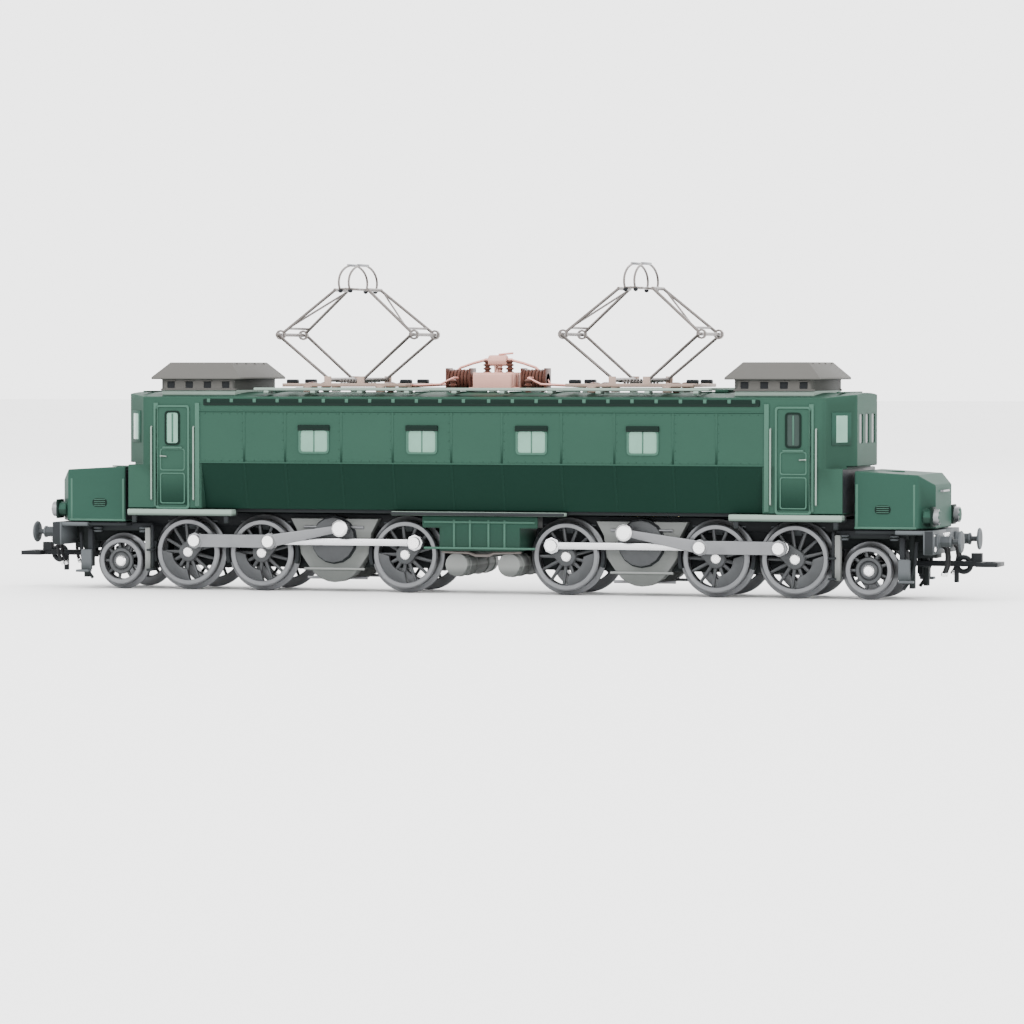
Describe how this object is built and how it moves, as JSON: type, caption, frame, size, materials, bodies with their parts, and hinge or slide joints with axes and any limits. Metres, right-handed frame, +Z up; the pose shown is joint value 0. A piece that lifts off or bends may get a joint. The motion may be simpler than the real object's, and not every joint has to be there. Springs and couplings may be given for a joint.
{
  "type": "model electric locomotive",
  "caption": "Scale model of an early electric freight locomotive with rod-driven swivelling bogies, hoods, roof resistor housings and folding diamond pantographs.",
  "frame": {"origin": "middle of the locomotive's box, at the lowest points of the wheel flanges", "axes": "+X along the locomotive to its front end, +Y across it to the far side, +Z up"},
  "size_m": [0.234, 0.034, 0.0755],
  "materials": {
    "body_green": "satin",
    "frame_grey": "satin",
    "wheel_grey": "satin",
    "rod_steel": "polished",
    "roof_grey": "matt",
    "insulator_brown": "gloss",
    "pantograph_wire": "satin",
    "clear_glazing": "clear",
    "motor_metal": "satin",
    "circuit_board_green": "matt",
    "brass": "satin",
    "coupler_black": "matt",
    "hood_green": "satin",
    "underframe_green": "satin"
  },
  "bodies": {
    "body": {"body_shell": "body_green", "chassis_frame": "frame_grey", "glazing_near": "clear_glazing", "glazing_far": "clear_glazing", "motor": "motor_metal", "circuit_board": "circuit_board_green", "transformer_box": "underframe_green", "air_tanks": "frame_grey", "main_switch": "insulator_brown", "choke_coil_front": "insulator_brown", "choke_coil_rear": "insulator_brown", "resistor_housing_front": "roof_grey", "resistor_housing_rear": "roof_grey", "roof_walkway_near": "roof_grey", "roof_walkway_far": "roof_grey", "pantograph_base_front": "pantograph_wire", "pantograph_base_rear": "pantograph_wire"},
    "bogie_front": {"bogie_frame_front": "frame_grey", "hood_front": "hood_green", "buffer_front_near": "wheel_grey", "buffer_front_far": "wheel_grey"},
    "driver_front_middle": {"driver_front_middle": "wheel_grey"},
    "driver_front_inner": {"driver_front_inner": "wheel_grey"},
    "driver_front_outer": {"driver_front_outer": "wheel_grey"},
    "jackshaft_front": {"jackshaft_front": "wheel_grey"},
    "rod_front_inner_near": {"rod_front_inner_near": "rod_steel"},
    "rod_front_inner_far": {"rod_front_inner_far": "rod_steel"},
    "rod_front_outer_near": {"rod_front_outer_near": "rod_steel"},
    "rod_front_outer_far": {"rod_front_outer_far": "rod_steel"},
    "pony_frame_front": {"pony_frame_front": "frame_grey"},
    "pony_wheelset_front": {"pony_wheelset_front": "wheel_grey"},
    "coupler_front": {"coupler_front": "coupler_black"},
    "pantograph_lower_arm_front_outer": {"pantograph_lower_arm_front_outer": "pantograph_wire"},
    "pantograph_upper_arm_front_outer": {"pantograph_upper_arm_front_outer": "pantograph_wire"},
    "pantograph_head_front": {"pantograph_head_front": "pantograph_wire"},
    "pantograph_lower_arm_front_inner": {"pantograph_lower_arm_front_inner": "pantograph_wire"},
    "pantograph_upper_arm_front_inner": {"pantograph_upper_arm_front_inner": "pantograph_wire"},
    "bogie_rear": {"bogie_frame_rear": "frame_grey", "hood_rear": "hood_green", "buffer_rear_near": "wheel_grey", "buffer_rear_far": "wheel_grey"},
    "driver_rear_middle": {"driver_rear_middle": "wheel_grey"},
    "driver_rear_inner": {"driver_rear_inner": "wheel_grey"},
    "driver_rear_outer": {"driver_rear_outer": "wheel_grey"},
    "jackshaft_rear": {"jackshaft_rear": "wheel_grey"},
    "rod_rear_inner_near": {"rod_rear_inner_near": "rod_steel"},
    "rod_rear_inner_far": {"rod_rear_inner_far": "rod_steel"},
    "rod_rear_outer_near": {"rod_rear_outer_near": "rod_steel"},
    "rod_rear_outer_far": {"rod_rear_outer_far": "rod_steel"},
    "pony_frame_rear": {"pony_frame_rear": "frame_grey"},
    "pony_wheelset_rear": {"pony_wheelset_rear": "wheel_grey"},
    "coupler_rear": {"coupler_rear": "coupler_black"},
    "pantograph_lower_arm_rear_outer": {"pantograph_lower_arm_rear_outer": "pantograph_wire"},
    "pantograph_upper_arm_rear_outer": {"pantograph_upper_arm_rear_outer": "pantograph_wire"},
    "pantograph_head_rear": {"pantograph_head_rear": "pantograph_wire"},
    "pantograph_lower_arm_rear_inner": {"pantograph_lower_arm_rear_inner": "pantograph_wire"},
    "pantograph_upper_arm_rear_inner": {"pantograph_upper_arm_rear_inner": "pantograph_wire"},
    "motor_shaft": {"motor_shaft": "motor_metal"},
    "cardan_shaft": {"cardan_shaft": "rod_steel"},
    "worm": {"worm": "brass"}
  },
  "joints": [
    {"name": "bogie_swivel_front", "type": "hinge", "parent": "body", "child": "bogie_front", "pos_m": [0.0458, 0, 0.01375], "axis": [0, 0, 1], "range_deg": [-6, 6]},
    {"name": "wheel_spin_front", "type": "hinge", "parent": "bogie_front", "child": "driver_front_middle", "pos_m": [0.0542, 0, 0.00885], "axis": [0, 1, 0], "continuous": true},
    {"name": "wheel_spin_front_inner", "type": "hinge", "parent": "bogie_front", "child": "driver_front_inner", "pos_m": [0.0192, 0, 0.00885], "axis": [0, 1, 0], "continuous": true},
    {"name": "wheel_spin_front_outer", "type": "hinge", "parent": "bogie_front", "child": "driver_front_outer", "pos_m": [0.0724, 0, 0.00885], "axis": [0, 1, 0], "continuous": true},
    {"name": "jackshaft_spin_front", "type": "hinge", "parent": "bogie_front", "child": "jackshaft_front", "pos_m": [0.0367, 0, 0.012], "axis": [0, 1, 0], "continuous": true},
    {"name": "rod_turn_front_inner_near", "type": "hinge", "parent": "driver_front_inner", "child": "rod_front_inner_near", "pos_m": [0.01621, -0.0111, 0.01136], "axis": [0, 1, 0], "continuous": true},
    {"name": "rod_turn_front_inner_far", "type": "hinge", "parent": "driver_front_inner", "child": "rod_front_inner_far", "pos_m": [0.01669, 0.0111, 0.00586], "axis": [0, 1, 0], "continuous": true},
    {"name": "rod_turn_front_outer_near", "type": "hinge", "parent": "driver_front_outer", "child": "rod_front_outer_near", "pos_m": [0.06941, -0.0123, 0.01136], "axis": [0, 1, 0], "continuous": true},
    {"name": "rod_turn_front_outer_far", "type": "hinge", "parent": "driver_front_outer", "child": "rod_front_outer_far", "pos_m": [0.06989, 0.0123, 0.00586], "axis": [0, 1, 0], "continuous": true},
    {"name": "pony_swing_front", "type": "hinge", "parent": "bogie_front", "child": "pony_frame_front", "pos_m": [0.0805, 0, 0.00655], "axis": [0, 0, 1], "range_deg": [-4, 4]},
    {"name": "pony_spin_front", "type": "hinge", "parent": "pony_frame_front", "child": "pony_wheelset_front", "pos_m": [0.0892, 0, 0.00655], "axis": [0, 1, 0], "continuous": true},
    {"name": "coupler_swing_front", "type": "hinge", "parent": "bogie_front", "child": "coupler_front", "pos_m": [0.0996, 0, 0.008], "axis": [0, 0, 1], "range_deg": [-12, 12]},
    {"name": "pantograph_rise_front", "type": "hinge", "parent": "body", "child": "pantograph_lower_arm_front_outer", "pos_m": [0.038, 0, 0.0488], "axis": [0, -1, 0], "range_deg": [-34, 15]},
    {"name": "pantograph_knee_front_outer", "type": "hinge", "parent": "pantograph_lower_arm_front_outer", "child": "pantograph_upper_arm_front_outer", "pos_m": [0.0502, 0, 0.05915], "axis": [0, 1, 0], "range_deg": [-68, 30]},
    {"name": "pantograph_head_turn_front", "type": "hinge", "parent": "pantograph_upper_arm_front_outer", "child": "pantograph_head_front", "pos_m": [0.038, 0, 0.0695], "axis": [0, -1, 0], "range_deg": [-34, 15]},
    {"name": "pantograph_rise_front_inner", "type": "hinge", "parent": "body", "child": "pantograph_lower_arm_front_inner", "pos_m": [0.03, 0, 0.0488], "axis": [0, 1, 0], "range_deg": [-34, 15]},
    {"name": "pantograph_knee_front_inner", "type": "hinge", "parent": "pantograph_lower_arm_front_inner", "child": "pantograph_upper_arm_front_inner", "pos_m": [0.0178, 0, 0.05915], "axis": [0, -1, 0], "range_deg": [-68, 30]},
    {"name": "bogie_swivel_rear", "type": "hinge", "parent": "body", "child": "bogie_rear", "pos_m": [-0.0458, 0, 0.01375], "axis": [0, 0, 1], "range_deg": [-6, 6]},
    {"name": "wheel_spin_rear", "type": "hinge", "parent": "bogie_rear", "child": "driver_rear_middle", "pos_m": [-0.0542, 0, 0.00885], "axis": [0, 1, 0], "continuous": true},
    {"name": "wheel_spin_rear_inner", "type": "hinge", "parent": "bogie_rear", "child": "driver_rear_inner", "pos_m": [-0.0192, 0, 0.00885], "axis": [0, 1, 0], "continuous": true},
    {"name": "wheel_spin_rear_outer", "type": "hinge", "parent": "bogie_rear", "child": "driver_rear_outer", "pos_m": [-0.0724, 0, 0.00885], "axis": [0, 1, 0], "continuous": true},
    {"name": "jackshaft_spin_rear", "type": "hinge", "parent": "bogie_rear", "child": "jackshaft_rear", "pos_m": [-0.0367, 0, 0.012], "axis": [0, 1, 0], "continuous": true},
    {"name": "rod_turn_rear_inner_near", "type": "hinge", "parent": "driver_rear_inner", "child": "rod_rear_inner_near", "pos_m": [-0.01644, -0.0111, 0.01161], "axis": [0, 1, 0], "continuous": true},
    {"name": "rod_turn_rear_inner_far", "type": "hinge", "parent": "driver_rear_inner", "child": "rod_rear_inner_far", "pos_m": [-0.01644, 0.0111, 0.00609], "axis": [0, 1, 0], "continuous": true},
    {"name": "rod_turn_rear_outer_near", "type": "hinge", "parent": "driver_rear_outer", "child": "rod_rear_outer_near", "pos_m": [-0.06964, -0.0123, 0.01161], "axis": [0, 1, 0], "continuous": true},
    {"name": "rod_turn_rear_outer_far", "type": "hinge", "parent": "driver_rear_outer", "child": "rod_rear_outer_far", "pos_m": [-0.06964, 0.0123, 0.00609], "axis": [0, 1, 0], "continuous": true},
    {"name": "pony_swing_rear", "type": "hinge", "parent": "bogie_rear", "child": "pony_frame_rear", "pos_m": [-0.0805, 0, 0.00655], "axis": [0, 0, 1], "range_deg": [-4, 4]},
    {"name": "pony_spin_rear", "type": "hinge", "parent": "pony_frame_rear", "child": "pony_wheelset_rear", "pos_m": [-0.0892, 0, 0.00655], "axis": [0, 1, 0], "continuous": true},
    {"name": "coupler_swing_rear", "type": "hinge", "parent": "bogie_rear", "child": "coupler_rear", "pos_m": [-0.0996, 0, 0.008], "axis": [0, 0, 1], "range_deg": [-12, 12]},
    {"name": "pantograph_rise_rear", "type": "hinge", "parent": "body", "child": "pantograph_lower_arm_rear_outer", "pos_m": [-0.038, 0, 0.0488], "axis": [0, 1, 0], "range_deg": [-34, 15]},
    {"name": "pantograph_knee_rear_outer", "type": "hinge", "parent": "pantograph_lower_arm_rear_outer", "child": "pantograph_upper_arm_rear_outer", "pos_m": [-0.0502, 0, 0.05915], "axis": [0, -1, 0], "range_deg": [-68, 30]},
    {"name": "pantograph_head_turn_rear", "type": "hinge", "parent": "pantograph_upper_arm_rear_outer", "child": "pantograph_head_rear", "pos_m": [-0.038, 0, 0.0695], "axis": [0, 1, 0], "range_deg": [-34, 15]},
    {"name": "pantograph_rise_rear_inner", "type": "hinge", "parent": "body", "child": "pantograph_lower_arm_rear_inner", "pos_m": [-0.03, 0, 0.0488], "axis": [0, -1, 0], "range_deg": [-34, 15]},
    {"name": "pantograph_knee_rear_inner", "type": "hinge", "parent": "pantograph_lower_arm_rear_inner", "child": "pantograph_upper_arm_rear_inner", "pos_m": [-0.0178, 0, 0.05915], "axis": [0, 1, 0], "range_deg": [-68, 30]},
    {"name": "motor_spin", "type": "hinge", "parent": "body", "child": "motor_shaft", "pos_m": [0, 0, 0.0245], "axis": [1, 0, 0], "continuous": true},
    {"name": "cardan_spin", "type": "hinge", "parent": "body", "child": "cardan_shaft", "pos_m": [0.02225, 0, 0.02145], "axis": [0.9261, 0, -0.3773], "continuous": true},
    {"name": "worm_spin", "type": "hinge", "parent": "bogie_front", "child": "worm", "pos_m": [0.0367, 0, 0.0182], "axis": [1, 0, 0], "continuous": true}
  ],
  "couplings": [
    {"joint": "wheel_spin_front_inner", "follows": "wheel_spin_front", "ratio": 1},
    {"joint": "wheel_spin_front_outer", "follows": "wheel_spin_front", "ratio": 1},
    {"joint": "jackshaft_spin_front", "follows": "wheel_spin_front", "ratio": 1},
    {"joint": "rod_turn_front_inner_near", "follows": "wheel_spin_front", "ratio": -1},
    {"joint": "rod_turn_front_inner_far", "follows": "wheel_spin_front", "ratio": -1},
    {"joint": "rod_turn_front_outer_near", "follows": "wheel_spin_front", "ratio": -1},
    {"joint": "rod_turn_front_outer_far", "follows": "wheel_spin_front", "ratio": -1},
    {"joint": "pantograph_knee_front_outer", "follows": "pantograph_rise_front", "ratio": 2},
    {"joint": "pantograph_head_turn_front", "follows": "pantograph_rise_front", "ratio": 1},
    {"joint": "pantograph_rise_front_inner", "follows": "pantograph_rise_front", "ratio": 1},
    {"joint": "pantograph_knee_front_inner", "follows": "pantograph_rise_front", "ratio": 2},
    {"joint": "wheel_spin_rear_inner", "follows": "wheel_spin_rear", "ratio": 1},
    {"joint": "wheel_spin_rear_outer", "follows": "wheel_spin_rear", "ratio": 1},
    {"joint": "jackshaft_spin_rear", "follows": "wheel_spin_rear", "ratio": 1},
    {"joint": "rod_turn_rear_inner_near", "follows": "wheel_spin_rear", "ratio": -1},
    {"joint": "rod_turn_rear_inner_far", "follows": "wheel_spin_rear", "ratio": -1},
    {"joint": "rod_turn_rear_outer_near", "follows": "wheel_spin_rear", "ratio": -1},
    {"joint": "rod_turn_rear_outer_far", "follows": "wheel_spin_rear", "ratio": -1},
    {"joint": "pantograph_knee_rear_outer", "follows": "pantograph_rise_rear", "ratio": 2},
    {"joint": "pantograph_head_turn_rear", "follows": "pantograph_rise_rear", "ratio": 1},
    {"joint": "pantograph_rise_rear_inner", "follows": "pantograph_rise_rear", "ratio": 1},
    {"joint": "pantograph_knee_rear_inner", "follows": "pantograph_rise_rear", "ratio": 2},
    {"joint": "motor_spin", "follows": "wheel_spin_front", "ratio": 10},
    {"joint": "cardan_spin", "follows": "wheel_spin_front", "ratio": 10},
    {"joint": "worm_spin", "follows": "wheel_spin_front", "ratio": 10}
  ]
}
